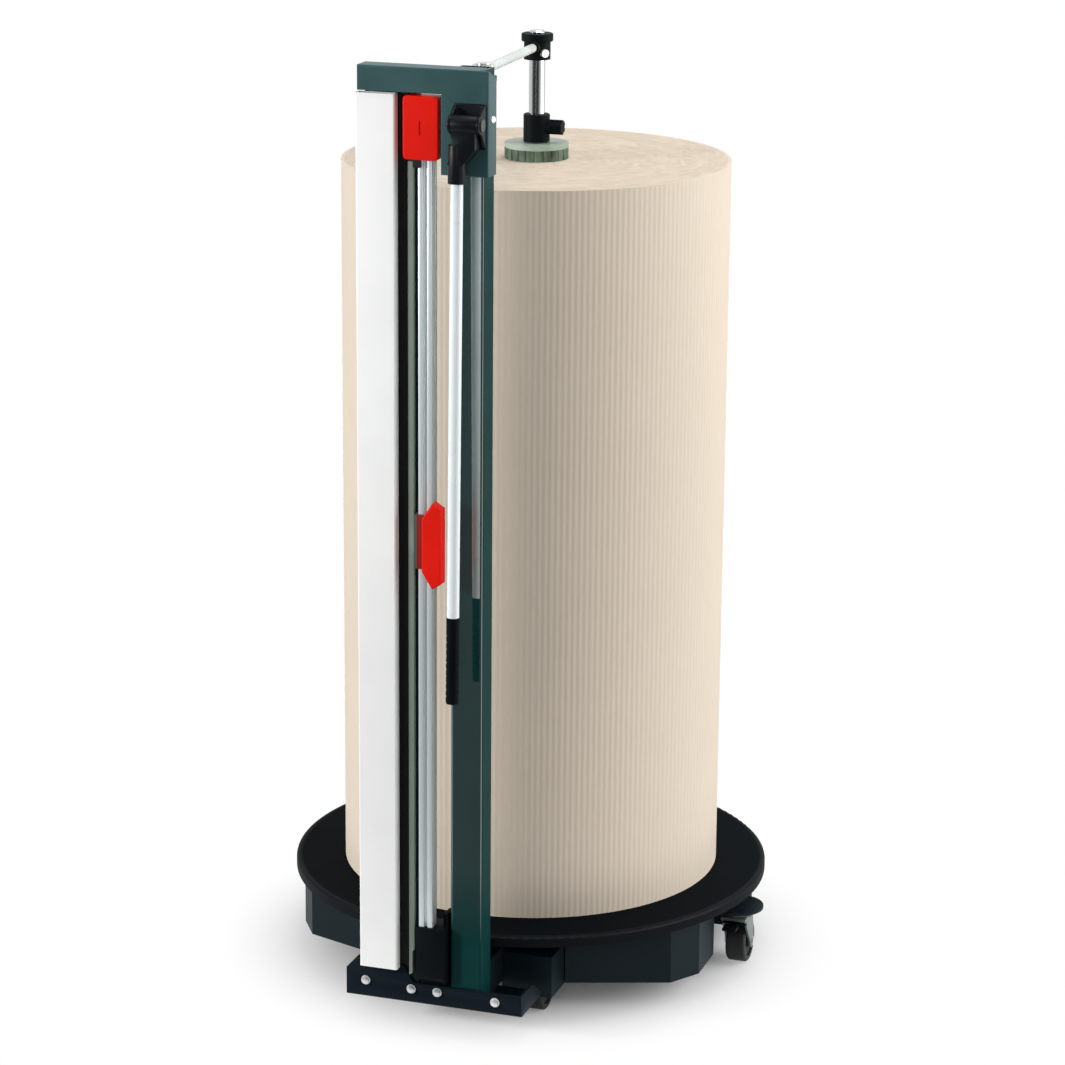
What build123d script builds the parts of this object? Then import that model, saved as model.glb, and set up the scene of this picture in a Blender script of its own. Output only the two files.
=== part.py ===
from build123d import *
import os
from math import cos, hypot, pi, sin

os.makedirs("parts", exist_ok=True)

# Mobile stand for an upright roll of corrugated board, with a vertical cutter on a mast.
# Millimetres. Front is -Y, +Z is up, and the origin is on the floor under the turntable's axis.

# Fits and cuts
running_fit = 0.06          # radial clearance of a shaft in its hole
air_gap = 0.4               # between pieces that move past each other
seat_gap = 0.05             # round a piece that is pushed into a socket
overrun = 5.0               # how far a cut runs past the piece

# Base housing: a cover welded from plates, cut back where the castors stand
housing_foot = 34.0         # above the floor
housing_height = 78.0
housing_sheet = 3.0
housing_round = 2.0         # along the deck's top edge
side_reach = 292.0
side_half = 140.0
corner_x = 264.0
corner_y = 184.0
front_half = 100.0
front_reach = 243.0
front_notch_margin = 2.0
notch_gap = 5.0

# Castors
castor_height = 87.0        # floor to the top of the castor's plate
castor_plate = 3.0
castor_plate_side = 54.0
castor_plate_round = 6.0
wing_sheet = 4.0
wing_width = 74.0
wing_apron = 55.0           # height of the plates under the front wings' edges
wheel_radius = 30.0
wheel_width = 28.0
wheel_bore = 4.0
wheel_hub = 9.0
wheel_tread = 8.0
wheel_dish = 3.0
wheel_round = 4.0
castor_trail = 20.0
fork_sheet = 2.5
fork_gap = 1.2              # wheel to cheek
fork_crown = 4.0
fork_foot_radius = 9.0
fork_shoulder = 21.0        # half length of the cheek under the crown
race_radius = 17.0
race_height = 7.0
kingpin_radius = 6.0
axle_head_radius = 7.0
axle_head = 3.0
pedal_length = 24.0
pedal_width = 20.0
pedal_neck = 11.0
pedal_sheet = 3.0
pedal_round = 3.0
pedal_pin_radius = 2.5
pedal_pin_drop = 9.0        # below the crown's top
pedal_pin_inset = 7.5       # behind the front of the cheeks
front_castor_offset = 40.0  # from the mast arm's side
front_castor_back = 51.0    # behind the foot bracket's tongue
front_castor_reach = 54.0   # ahead of the housing's notch
side_castor_out = 18.0      # outside the housing's side
side_castor_y = -10.0
rear_castor_out = 2.0

# Turntable and its bearing
bearing_height = 14.0
bearing_gap = 2.0
bearing_radius = 125.0      # pitch circle of the balls
bearing_ring_width = 34.0
ball_radius = 4.2
ball_count = 12
spindle_radius = 15.0
spindle_flange_radius = 34.0
spindle_flange = 3.0
spindle_nut_radius = 24.0
spindle_nut = 8.0
table_radius = 335.0
table_sheet = 4.0
rim_drop = 15.0
rim_sheet = 3.0
rim_bend = 3.8
spigot_play = 3.0           # inside the roll's core
spigot_height = 60.0
spigot_wall = 3.0
spigot_hollow = 30.0
spigot_chamfer = 8.0

# Roll of corrugated board: a wound body, the fluted outer turn and the core tube
roll_radius = 265.0
roll_height = 1000.0
core_bore_radius = 38.0
core_wall = 4.0
flute_count = 208
flute_depth = 1.8
liner_thickness = 0.9
flute_shares = (0.0, 0.75, 1.0, 0.75)   # height of the wave at its quarters

# Mast: a square tube on a folded foot bracket, tied to the base by an arm
table_gap = 8.0             # from the turntable's rim to the column
column_width = 44.0
column_depth = 40.0
column_wall = 2.5
column_bend = 4.0
bracket_sheet = 4.0
bracket_bend = 3.0
bracket_bottom = 43.0
bracket_low = 29.0
bracket_high = 53.0
bracket_tongue = 43.0       # behind the column
bracket_left_out = 25.0     # beyond the clamp bar
bracket_right_out = 58.0    # beyond the column
bracket_step_out = 4.0      # beyond the clamp bar's right edge
bracket_slope = 14.0
cheek_slope = 40.0
arm_half = 55.0
arm_height = 50.0
arm_wall = 3.0
bolt_radius = 4.0
bolt_head_radius = 6.5
bolt_head = 4.0
bolt_shares = (0.112, 0.374, 0.522, 0.851)   # along the bracket's width
bolt_lifts = (24.0, 20.0, 20.0, 17.0)        # above the bracket's bottom

# Header: a folded cover over the top of the mast
header_over_roll = 173.0
header_sheet = 2.5
header_bend = 2.0
header_height = 32.0
header_leg = 133.0
header_proud = 20.0         # in front of the column
header_depth = 31.0
header_relief = 15.0        # how far the right end's top slopes down to the back
header_side_gap = 9.5       # between the column and the leg's right wall
header_left_gap = 4.0
header_leg_gap = 7.0

# Guide rail and its foot
rail_left = -25.0
rail_width = 19.0
rail_depth = 18.0
rail_proud = 12.0           # in front of the column
rail_groove = 5.0
rail_groove_depth = 4.0
rail_groove_inset = 4.0
rail_to_column = 21.0       # open gap
foot_height = 85.0          # above the low flange
foot_shelf_lift = 6.0
foot_proud = 2.0            # in front of the rail
foot_depth = 33.0           # behind the column's face
foot_side_gap = 3.0
foot_ear_width = 7.0
foot_ear_height = 18.0
foot_chamfer = 8.0

# Counter beam, web strip and edge strip
beam_to_rail = 5.0
beam_width = 70.0
beam_depth = 14.0
beam_wall = 2.0
edge_inset = 3.0
edge_width = 8.0
edge_proud = 7.0
edge_lift = 12.0
edge_cut = 34.0             # length of the narrow stretch at the foot
edge_narrow = 3.0
edge_top_gap = 4.0
strip_gap = 2.0
strip_width = 13.0
strip_thickness = 2.0
strip_groove = 3.0
strip_groove_depth = 1.0
strip_foot_gap = 1.0

# Red guard that parks the cutter at the top
guard_gap = 3.0             # to the header
guard_height = 81.0
guard_proud = 9.0           # in front of the rail
guard_wall = 3.5
guard_round = 6.0
guard_edge = 2.0
guard_strip_gap = 0.5
bumper_left = 12.5          # from the guard's left side
bumper_width = 10.0
bumper_drop = 10.0
bumper_inset = 6.0
bumper_sheet = 3.0

# Clamp bar, its pads, guide pins and draw strap
bar_width = 53.0
bar_depth = 14.0
bar_wall = 2.0
bar_round = 2.5
bar_lap = 2.0               # over the web strip
bar_foot_lap = 3.0          # below the top of the bracket's flange
web_gap = 4.5               # between the bar and the counter beam
pad_width = 14.0
pad_inset = 7.0
pad_strip_gap = 4.0
pad_clearance = 0.5
pad_top_inset = 68.0
pad_foot_inset = 27.0
guide_pin_radius = 5.0
guide_pin_tip = 2.0         # left between the pin's tip and the front wall
guide_pin_low = 57.0
guide_pin_high = 50.0
strap_sheet = 3.0
strap_lift = 5.0
strap_top_gap = 4.5
strap_inset = 5.0
strap_tab_width = 26.0
strap_tab_lap = 34.0
strap_hook_width = 13.0
strap_hook_drop = 12.0

# Lever
lever_drop = 65.0           # pivot below the header's top
lever_stand_off = 16.0      # pivot in front of the header
lever_lean = 1.2
lever_offset = 10.0         # pivot right of the column's middle
lever_bracket_half = 21.0
lever_bracket_up = 24.0
lever_bracket_down = 33.0
lever_plate = 3.0
lever_ear = 4.0
lever_barrel_radius = 12.0
lever_pin_radius = 5.0
lever_pin_head = 2.0
lever_pin_head_radius = 8.0
lever_head_half = 9.0
lever_head_straight = 30.0  # below the pin, before the head tapers
lever_web_inset = 1.5       # web inside the barrel's ends and the socket's sides
lever_head_length = 74.0
socket_offset = 11.0        # tube's axis left of the pivot's middle
socket_radius = 11.5
socket_depth = 24.0
socket_top = 24.0           # solid stretch above the socket
lever_tube_radius = 8.0
lever_tube_wall = 1.5
lever_length = 634.0        # pivot to the tube's lower end
lever_grip_radius = 8.5
lever_grip_length = 116.0
lever_grip_round = 3.0
grip_ring = 0.8
grip_ring_pitch = 9.0
grip_ring_width = 3.0
finger_half = 4.0
finger_reach = 21.0
slot_half = 6.0
slot_up = 7.0
slot_down = 24.0

# Cutter slide
cutter_rest = 533.5         # above the rail's foot
cutter_wall = 4.0
cutter_front_wall = 6.0
cutter_half = 36.0
grip_left_inset = 12.5      # from the rail's left side
grip_width = 26.5
grip_left_half = 35.0
grip_right_half = 49.5
grip_tip_half = 57.5
grip_tip_share = 0.53       # of the grip's width, from its left side
grip_depth = 16.6
grip_round = 2.5
blade_thickness = 0.8
blade_half = 16.0
blade_front_inset = 2.4     # behind the sleeve's front
blade_neck = 7.0
blade_reach = 6.5
blade_tip_share = 0.35      # part of the blade's length that is the slanted edge

# Hold-down: swinging arm, clamped rod and a disc that turns with the roll
arm_drop = 10.0             # hinge's middle below the header's top
arm_fall = 12.0             # from the hinge down to the clamp
hinge_reach = 18.0          # hinge behind the column
arm_tube_radius = 6.0
eye_radius = 14.0
eye_half = 7.0
shelf_sheet = 6.0
shelf_half = 17.0
shelf_drop = 46.0
hinge_pin_radius = 6.0
hinge_pin_head_radius = 9.0
hinge_pin_head = 2.0
rod_radius = 11.0
rod_rise = 22.0             # above the arm's lower end
rod_chamfer = 2.0
clamp_cap_radius = 21.5
clamp_cap_rise = 18.0
clamp_cap_height = 11.0
clamp_body_radius = 18.0
clamp_down = 17.0
clamp_round = 2.0
socket_boss_radius = 8.5
socket_boss_reach = 32.0    # from the rod's axis
screw_down = 7.0
screw_turn = -45.0          # round the rod, from +X
screw_radius = 3.0
screw_head_radius = 5.5
screw_head = 6.0
screw_gap = 1.0
hub_radius = 18.0
hub_lift = 1.7              # above the disc
hub_height = 37.0
hub_round = 2.0
knob_lift = 20.0            # above the hub's foot
knob_radius = 10.0
knob_length = 15.0
knob_stem_radius = 4.0
knob_stem_depth = 6.0
knob_boss = 4.0
knob_lobes = 6
knob_lobe_radius = 2.2
disc_radius = 43.5
disc_gap = 0.3              # over the roll's top
disc_plate = 6.0
disc_ring = 15.0
disc_ring_bore = 20.0
disc_rib_count = 24
disc_rib_radius = 2.4
stub_radius = 6.0
stub_nut_radius = 11.0
stub_nut = 6.0

# Heights that follow from the ones above
housing_top = housing_foot + housing_height
table_under = housing_top + bearing_height
table_top = table_under + table_sheet
roll_top = table_top + roll_height
header_top = roll_top + header_over_roll
header_roof = header_top - header_sheet
header_bottom = header_top - header_height
header_leg_bottom = header_top - header_leg
bracket_floor = bracket_bottom + bracket_sheet
bracket_low_top = bracket_bottom + bracket_low
bracket_high_top = bracket_bottom + bracket_high
rail_bottom = bracket_low_top + foot_height
guard_top = header_bottom - guard_gap
guard_roof = guard_top - guard_wall
guard_bottom = guard_top - guard_height
bar_bottom = bracket_high_top - bar_foot_lap
bar_top = header_bottom - guard_gap
lever_z = header_top - lever_drop
cutter_z = rail_bottom + cutter_rest
arm_z = header_top - arm_drop
clamp_z = arm_z - arm_fall
disc_bottom = roll_top + disc_gap
disc_plate_bottom = disc_bottom + disc_ring
disc_top = disc_plate_bottom + disc_plate
fork_top = castor_height - castor_plate - race_height - air_gap

# Places across the front, from the rail outwards, and from the column forwards
rail_right = rail_left + rail_width
column_left = rail_right + rail_to_column
column_right = column_left + column_width
column_middle = (column_left + column_right) / 2
beam_right = rail_left - beam_to_rail
beam_left = beam_right - beam_width
edge_right = beam_right - edge_inset
edge_left = edge_right - edge_width
strip_right = edge_left - strip_gap
strip_left = strip_right - strip_width
bar_right = strip_left + bar_lap
bar_left = bar_right - bar_width
header_left = beam_left - header_left_gap
header_right = column_right + header_side_gap + header_sheet
header_leg_left = column_left - header_leg_gap
guard_left = strip_right + guard_strip_gap
guard_right = header_leg_left - guard_gap
bracket_left = bar_left - bracket_left_out
bracket_right = column_right + bracket_right_out
lever_x = column_middle + lever_offset
socket_x = lever_x - socket_offset
column_back = -table_radius - table_gap
mast_face = column_back - column_depth
bracket_front = mast_face - bracket_sheet
bracket_back = column_back + bracket_tongue
header_front = mast_face - header_proud
header_back = header_front + header_depth
rail_front = mast_face - rail_proud
rail_back = rail_front + rail_depth
guard_front = rail_front - guard_proud
bar_back = mast_face - web_gap
bar_front = bar_back - bar_depth
beam_back = mast_face + beam_depth
lever_y = header_front - lever_stand_off
pivot_x = column_middle
pivot_y = column_back + hinge_reach
castor_sweep = castor_trail + wheel_radius
cheek_inside = wheel_width / 2 + fork_gap
cheek_outside = cheek_inside + fork_sheet
front_castor_x = arm_half + front_castor_offset
front_castor_y = bracket_back + front_castor_back
front_notch_reach = -front_castor_y - front_castor_reach
side_castor_x = side_reach + side_castor_out
rear_castor_y = front_reach + rear_castor_out
notch = castor_sweep + notch_gap
front_wing_end = front_castor_x + castor_plate_side / 2 + seat_gap + wing_sheet
core_radius = core_bore_radius + core_wall


def block(x0, x1, y0, y1, z0, z1):
    """A box between two corners."""
    centre = ((x0 + x1) / 2, (y0 + y1) / 2, (z0 + z1) / 2)
    return Pos(*centre) * Box(x1 - x0, y1 - y0, z1 - z0)


def post(radius, x, y, z0, z1):
    """A round bar along Z."""
    return Pos(x, y, (z0 + z1) / 2) * Cylinder(radius, z1 - z0)


def pin_x(radius, x0, x1, y, z):
    """A round bar along X."""
    return Pos((x0 + x1) / 2, y, z) * Rot(0, 90, 0) * Cylinder(radius, abs(x1 - x0))


def pin_y(radius, x, y0, y1, z):
    """A round bar along Y."""
    return Pos(x, (y0 + y1) / 2, z) * Rot(90, 0, 0) * Cylinder(radius, abs(y1 - y0))


def plate_xz(points, y0, y1):
    """An outline drawn on the front plane, given thickness from y0 back to y1."""
    outline = make_face(Polyline(*[(x, 0, z) for x, z in points], close=True))
    return Pos(0, y0, 0) * extrude(outline, amount=y1 - y0, dir=(0, 1, 0))


def plate_yz(points, x0, x1):
    """An outline drawn on the side plane, given thickness from x0 to x1."""
    outline = make_face(Polyline(*[(0, y, z) for y, z in points], close=True))
    return Pos(x0, 0, 0) * extrude(outline, amount=x1 - x0, dir=(1, 0, 0))


def around(count):
    """Angles spaced evenly round a circle."""
    return [2 * pi * i / count for i in range(count)]


def save(name, shape):
    export_step(shape, f"parts/{name}.step")


# Base housing: a deck with mitred panels welded under its edge, open below
def housing_corners():
    """Corners of the deck, counter-clockwise; the left half mirrors the right."""
    side_wall = side_castor_x - notch
    rear_wall = rear_castor_y - notch
    front_x = front_wing_end + front_notch_margin
    slope = (front_reach - corner_y) / (corner_x - front_half)
    right = [
        (front_x, -front_notch_reach),
        (front_x, (front_x - front_half) * slope - front_reach),
        (corner_x, -corner_y),
        (side_reach, -side_half),
        (side_reach, side_castor_y - notch),
        (side_wall, side_castor_y - notch),
        (side_wall, side_castor_y + notch),
        (side_reach, side_castor_y + notch),
        (side_reach, side_half),
        (corner_x, corner_y),
        (front_half, front_reach),
        (notch, front_reach),
        (notch, rear_wall),
    ]
    return [Vector(x, y) for x, y in right] + [Vector(-x, y) for x, y in reversed(right)]


def inset(corners, distance):
    """The corners moved so that every side of the outline moves inwards by a distance."""
    moved = []
    for i, corner in enumerate(corners):
        following = corners[(i + 1) % len(corners)]
        before = (corner - corners[i - 1]).normalized().rotate(Axis.Z, 90)
        after = (following - corner).normalized().rotate(Axis.Z, 90)
        moved.append(corner + (before + after) * (distance / (1 + before.dot(after))))
    return moved


def base_housing():
    outer = housing_corners()
    inner = inset(outer, housing_sheet)
    deck_foot = housing_top - housing_sheet
    deck = Pos(0, 0, deck_foot) * extrude(make_face(Polyline(*outer, close=True)), amount=housing_sheet)
    plates = [fillet(deck.faces().sort_by(Axis.Z)[-1].edges(), housing_round)]
    for i in range(len(outer)):
        panel = make_face(Polyline(outer[i - 1], outer[i], inner[i], inner[i - 1], close=True))
        plates.append(Pos(0, 0, housing_foot) * extrude(panel, amount=deck_foot - housing_foot))
    return Compound(plates)


# Ring bearing: two grooved rings with balls between them
def bearing_ring(z0, z1):
    outer = bearing_radius + bearing_ring_width / 2
    inner = bearing_radius - bearing_ring_width / 2
    ring = post(outer, 0, 0, z0, z1) - post(inner, 0, 0, z0 - overrun, z1 + overrun)
    return ring - Pos(0, 0, ball_z) * Torus(bearing_radius, ball_radius + air_gap)


ball_z = (housing_top + table_under) / 2
ring_height = (bearing_height - bearing_gap) / 2
lower_ring = bearing_ring(housing_top, housing_top + ring_height)
upper_ring = bearing_ring(table_under - ring_height, table_under)
balls = Compound([
    Pos(bearing_radius * cos(angle), bearing_radius * sin(angle), ball_z) * Sphere(ball_radius)
    for angle in around(ball_count)
])

# Spindle: a flanged stub on the housing that centres the turntable, with a nut over it
nut_foot = table_top + air_gap
spindle = post(spindle_flange_radius, 0, 0, housing_top, housing_top + spindle_flange)
spindle += post(spindle_radius, 0, 0, housing_top, nut_foot)
spindle += post(spindle_nut_radius, 0, 0, nut_foot, nut_foot + spindle_nut)

# Turntable: a spun disc whose edge is rolled down, and the spigot that centres the roll's core
disc = post(table_radius, 0, 0, table_top - rim_drop, table_top)
disc -= post(table_radius - rim_sheet, 0, 0, table_top - rim_drop - overrun, table_under)
disc -= post(spindle_radius + running_fit, 0, 0, table_under - overrun, table_top + overrun)
top_edges = disc.edges().filter_by(GeomType.CIRCLE).group_by(Axis.Z)[-1]
disc = fillet(top_edges.sort_by(SortBy.RADIUS)[-1], rim_bend)

spigot_radius = core_bore_radius - spigot_play
spigot = post(spigot_radius, 0, 0, table_top, table_top + spigot_height)
spigot = chamfer(spigot.edges().group_by(Axis.Z)[-1], spigot_chamfer)
spigot -= post(spigot_radius - spigot_wall, 0, 0, table_top - overrun, table_top + spigot_hollow)


# Roll: the wound body, the outer turn of fluted paper on its liner, and the core tube
def fluted_turn():
    points = []
    steps = len(flute_shares)
    valley = roll_radius - flute_depth
    for i, angle in enumerate(around(flute_count * steps)):
        radius = valley + flute_depth * flute_shares[i % steps]
        points.append((radius * cos(angle), radius * sin(angle)))
    bore = (wound_radius + seat_gap) / cos(pi / flute_count)
    inside = [(bore * cos(angle), bore * sin(angle)) for angle in around(flute_count)]
    outline = make_face(Polyline(*points, close=True)) - make_face(Polyline(*inside, close=True))
    return Pos(0, 0, table_top) * extrude(outline, amount=roll_height)


wound_radius = roll_radius - flute_depth - liner_thickness
wound = post(wound_radius, 0, 0, table_top, roll_top)
wound -= post(core_radius + seat_gap, 0, 0, table_top - overrun, roll_top + overrun)
core = post(core_radius, 0, 0, table_top, roll_top)
core -= post(core_bore_radius, 0, 0, table_top - overrun, roll_top + overrun)


# Castors: a plate with a race, a fork and a wheel that rolls along Y
def castor_wheel(x, y):
    half = wheel_width / 2
    wheel = pin_x(wheel_radius, x - half, x + half, y, wheel_radius)
    wheel = fillet(wheel.edges().filter_by(GeomType.CIRCLE), wheel_round)
    for side in (1, -1):
        face = x + side * half
        ends = (face - side * wheel_dish, face + side * overrun)
        dish = pin_x(wheel_radius - wheel_tread, *ends, y, wheel_radius)
        wheel -= dish - pin_x(wheel_hub, *ends, y, wheel_radius)
    return wheel - pin_x(wheel_bore + running_fit, x - wheel_width, x + wheel_width, y, wheel_radius)


def castor_axle(x, y):
    shank = pin_x(wheel_bore, x - cheek_outside, x + cheek_outside, y, wheel_radius)
    for side in (1, -1):
        face = x + side * cheek_outside
        shank += pin_x(axle_head_radius, face, face + side * axle_head, y, wheel_radius)
    return shank


def castor_fork(x, y, top, trail):
    """Two tapered cheeks under a crown, with the axle a trail behind the crown's middle."""
    axle_y = y + trail
    front = y - fork_shoulder
    back = y + fork_shoulder
    fork = block(x - cheek_outside, x + cheek_outside, front, back, top - fork_crown, top)
    outline = [
        (front, top),
        (back, top),
        (axle_y + fork_foot_radius, wheel_radius),
        (axle_y - fork_foot_radius, wheel_radius),
    ]
    for inner in (x - cheek_outside, x + cheek_inside):
        fork += plate_yz(outline, inner, inner + fork_sheet)
        fork += pin_x(fork_foot_radius, inner, inner + fork_sheet, axle_y, wheel_radius)
    return fork - pin_x(wheel_bore + seat_gap, x - wheel_width, x + wheel_width, axle_y, wheel_radius)


def castor_top(x, y, race):
    half = castor_plate_side / 2
    foot = castor_height - castor_plate
    top = block(x - half, x + half, y - half, y + half, foot, castor_height)
    top = fillet(top.edges().filter_by(Axis.Z), castor_plate_round)
    if race:
        top += post(race_radius, x, y, foot - race_height, castor_height)
        top -= post(kingpin_radius + running_fit, x, y, foot - race_height - overrun, foot)
    return top


def pedal_pin_place(y):
    return y - fork_shoulder + pedal_pin_inset, fork_top - pedal_pin_drop


def swivel_fork(x, y, braked):
    fork = castor_fork(x, y, fork_top, castor_trail)
    fork += post(kingpin_radius, x, y, fork_top - fork_crown, castor_height - castor_plate - air_gap)
    if braked:
        pin_hole = pedal_pin_radius + running_fit
        fork -= pin_x(pin_hole, x - wheel_width, x + wheel_width, *pedal_pin_place(y))
    return fork


def brake_pedal(x, y):
    """A treadle on a cross pin at the front of the fork."""
    pin_y_place, pin_z = pedal_pin_place(y)
    pedal = pin_x(pedal_pin_radius, x - cheek_outside, x + cheek_outside, pin_y_place, pin_z)
    toe = y - fork_shoulder - pedal_length
    foot = pin_z - pedal_sheet / 2
    pedal += block(x - pedal_neck / 2, x + pedal_neck / 2, toe, pin_y_place, foot, foot + pedal_sheet)
    tread = block(x - pedal_width / 2, x + pedal_width / 2, toe, toe + pedal_width, foot, foot + pedal_sheet)
    return pedal + fillet(tread.edges().filter_by(Axis.Z), pedal_round)


# Castor wings: round-ended tongues on the housing, and plates with an apron beside the mast arm
def castor_wing(x, y, turn):
    tongue = Pos(-notch / 2, 0) * Rectangle(notch, wing_width) + Circle(wing_width / 2)
    return Pos(x, y, castor_height) * Rot(0, 0, turn) * extrude(tongue, amount=wing_sheet)


def front_wing(side):
    """A plate beside the mast arm, with an apron under its front edge and one under its outer edge."""
    left, right = sorted((side * arm_half, side * front_wing_end))
    inner, outer = sorted((side * (front_wing_end - wing_sheet), side * front_wing_end))
    foot = castor_height - wing_apron
    front = front_castor_y - wing_width / 2
    back = front_castor_y + wing_width / 2
    plate = block(left, right, front, back, castor_height, castor_height + wing_sheet)
    apron = block(left, right, front, front + wing_sheet, foot, castor_height)
    return [plate, apron, block(inner, outer, front + wing_sheet, back, foot, castor_height)]


wings = [castor_wing(0, rear_castor_y, 90)]
tops = [castor_top(0, rear_castor_y, True)]
front_forks = []
front_axles = []
for side in (1, -1):
    wings += [castor_wing(side * side_castor_x, side_castor_y, 90 - 90 * side), *front_wing(side)]
    tops += [castor_top(side * side_castor_x, side_castor_y, True)]
    tops += [castor_top(side * front_castor_x, front_castor_y, False)]
    front_forks += [castor_fork(side * front_castor_x, front_castor_y, castor_height - castor_plate, 0)]
    front_axles += [castor_axle(side * front_castor_x, front_castor_y)]


# Foot bracket: front flange, floor and two cheeks, folded from one plate
bracket_step = bar_right + bracket_step_out
bolt_places = [
    (bracket_left + (bracket_right - bracket_left) * share, bracket_bottom + lift)
    for share, lift in zip(bolt_shares, bolt_lifts)
]


def foot_bracket():
    bracket = block(bracket_left, bracket_right, bracket_front, bracket_back, bracket_bottom, bracket_floor)
    fold = bracket.edges().filter_by(Axis.X).group_by(Axis.Y)[0].sort_by(Axis.Z)[0]
    bracket = fillet(fold, bracket_bend)
    flange = plate_xz(
        [
            (bracket_left, bracket_floor),
            (bracket_right, bracket_floor),
            (bracket_right, bracket_low_top),
            (bracket_step + bracket_slope, bracket_low_top),
            (bracket_step, bracket_high_top),
            (bracket_left + bracket_slope, bracket_high_top),
            (bracket_left, bracket_high_top - bracket_slope),
        ],
        bracket_front,
        mast_face,
    )
    bracket += flange
    cheeks = (
        (bracket_left, bracket_high_top - bracket_slope),
        (bracket_right - bracket_sheet, bracket_low_top),
    )
    for left, top in cheeks:
        outline = [
            (mast_face, bracket_floor),
            (bracket_back, bracket_floor),
            (bracket_back - cheek_slope, top),
            (mast_face, top),
        ]
        bracket += plate_yz(outline, left, left + bracket_sheet)
    for x, z in bolt_places:
        bracket -= pin_y(bolt_radius + seat_gap, x, bracket_front - overrun, mast_face + overrun, z)
    return bracket


bolts = Compound([
    pin_y(bolt_head_radius, x, bracket_front - bolt_head, bracket_front, z)
    + pin_y(bolt_radius, x, bracket_front - bolt_head, mast_face, z)
    for x, z in bolt_places
])

# Arm under the turntable that ties the mast to the base, a rectangular tube
arm_top = bracket_floor + arm_height
mast_arm = block(-arm_half, arm_half, column_back, -front_notch_reach, bracket_floor, arm_top)
mast_arm -= block(
    arm_wall - arm_half, arm_half - arm_wall, column_back - overrun, overrun - front_notch_reach,
    bracket_floor + arm_wall, arm_top - arm_wall,
)

# Column: a square tube with rounded corners
inner_width = column_width - 2 * column_wall
inner_depth = column_depth - 2 * column_wall
column_plan = RectangleRounded(column_width, column_depth, column_bend)
column_plan -= RectangleRounded(inner_width, inner_depth, column_bend - column_wall)
column = extrude(column_plan, amount=header_roof - bracket_floor)
column = Pos(column_middle, (mast_face + column_back) / 2, bracket_floor) * column


# Header cover: front, roof, ends and a leg that wraps the top of the column
def header_cover():
    outline = [
        (header_left, header_bottom),
        (header_leg_left, header_bottom),
        (header_leg_left, header_leg_bottom),
        (header_right, header_leg_bottom),
        (header_right, header_top),
        (header_left, header_top),
    ]
    cover = plate_xz(outline, header_front, header_back)
    folds = cover.faces().sort_by(Axis.Y)[0].edges()
    cover = fillet(folds, header_bend)
    rear = header_back + overrun
    inside = header_front + header_sheet
    right = header_right - header_sheet
    leg_inside = header_leg_left + header_sheet
    cover -= block(header_left + header_sheet, right, inside, rear, header_bottom, header_roof)
    cover -= block(leg_inside, right, inside, rear, header_leg_bottom - overrun, header_roof)
    cover -= block(
        header_left + header_sheet, header_leg_left, inside, rear, header_bottom - overrun, header_roof
    )
    relief = [
        (header_front + header_sheet, header_top),
        (header_back + overrun, header_top - header_relief),
        (header_back + overrun, header_top),
    ]
    cover -= plate_yz(relief, column_right, header_right + overrun)
    return cover - lever_slot(header_front - overrun, inside + overrun)


def lever_slot(y0, y1):
    return block(lever_x - slot_half, lever_x + slot_half, y0, y1, lever_z - slot_down, lever_z + slot_up)


# Counter beam: a flat hollow section that the web is clamped against
beam = block(beam_left, beam_right, mast_face, beam_back, bracket_floor, header_roof)
chamber = (beam_width - beam_wall) / 2 - beam_wall
for left in (beam_left + beam_wall, beam_right - beam_wall - chamber):
    beam -= block(
        left, left + chamber, mast_face + beam_wall, beam_back - beam_wall,
        bracket_floor - overrun, header_roof + overrun,
    )

# Web strip: black facing on the beam with a shallow groove; the edge strip beside it guides the cut
strip_face = mast_face - strip_thickness
strip_bottom = bracket_high_top + strip_foot_gap
strip = block(strip_left, strip_right, strip_face, mast_face, strip_bottom, bar_top)
strip_middle = (strip_left + strip_right) / 2
strip -= block(
    strip_middle - strip_groove / 2, strip_middle + strip_groove / 2,
    strip_face - overrun, strip_face + strip_groove_depth, strip_bottom - overrun, bar_top + overrun,
)
edge_bottom = bracket_low_top + edge_lift
edge_top = guard_bottom - edge_top_gap
edge = plate_xz(
    [
        (edge_left, edge_bottom),
        (edge_right - edge_narrow, edge_bottom + edge_narrow),
        (edge_right - edge_narrow, edge_bottom + edge_cut),
        (edge_right, edge_bottom + edge_cut + edge_narrow),
        (edge_right, edge_top),
        (edge_left, edge_top),
    ],
    mast_face - edge_proud,
    mast_face,
)


# Guide rail: an extruded section with a groove down its front and each side
def guide_rail():
    plan = Pos((rail_left + rail_right) / 2, (rail_front + rail_back) / 2) * Rectangle(rail_width, rail_depth)
    side_y = rail_back - rail_groove_inset - rail_groove / 2
    plan -= Pos(rail_left, side_y) * Rectangle(2 * rail_groove_depth, rail_groove)
    plan -= Pos(rail_right, side_y) * Rectangle(2 * rail_groove_depth, rail_groove)
    plan -= Pos((rail_left + rail_right) / 2, rail_front) * Rectangle(rail_groove, 2 * rail_groove_depth)
    return Pos(0, 0, rail_bottom) * extrude(plan, amount=guard_roof - rail_bottom)


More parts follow.
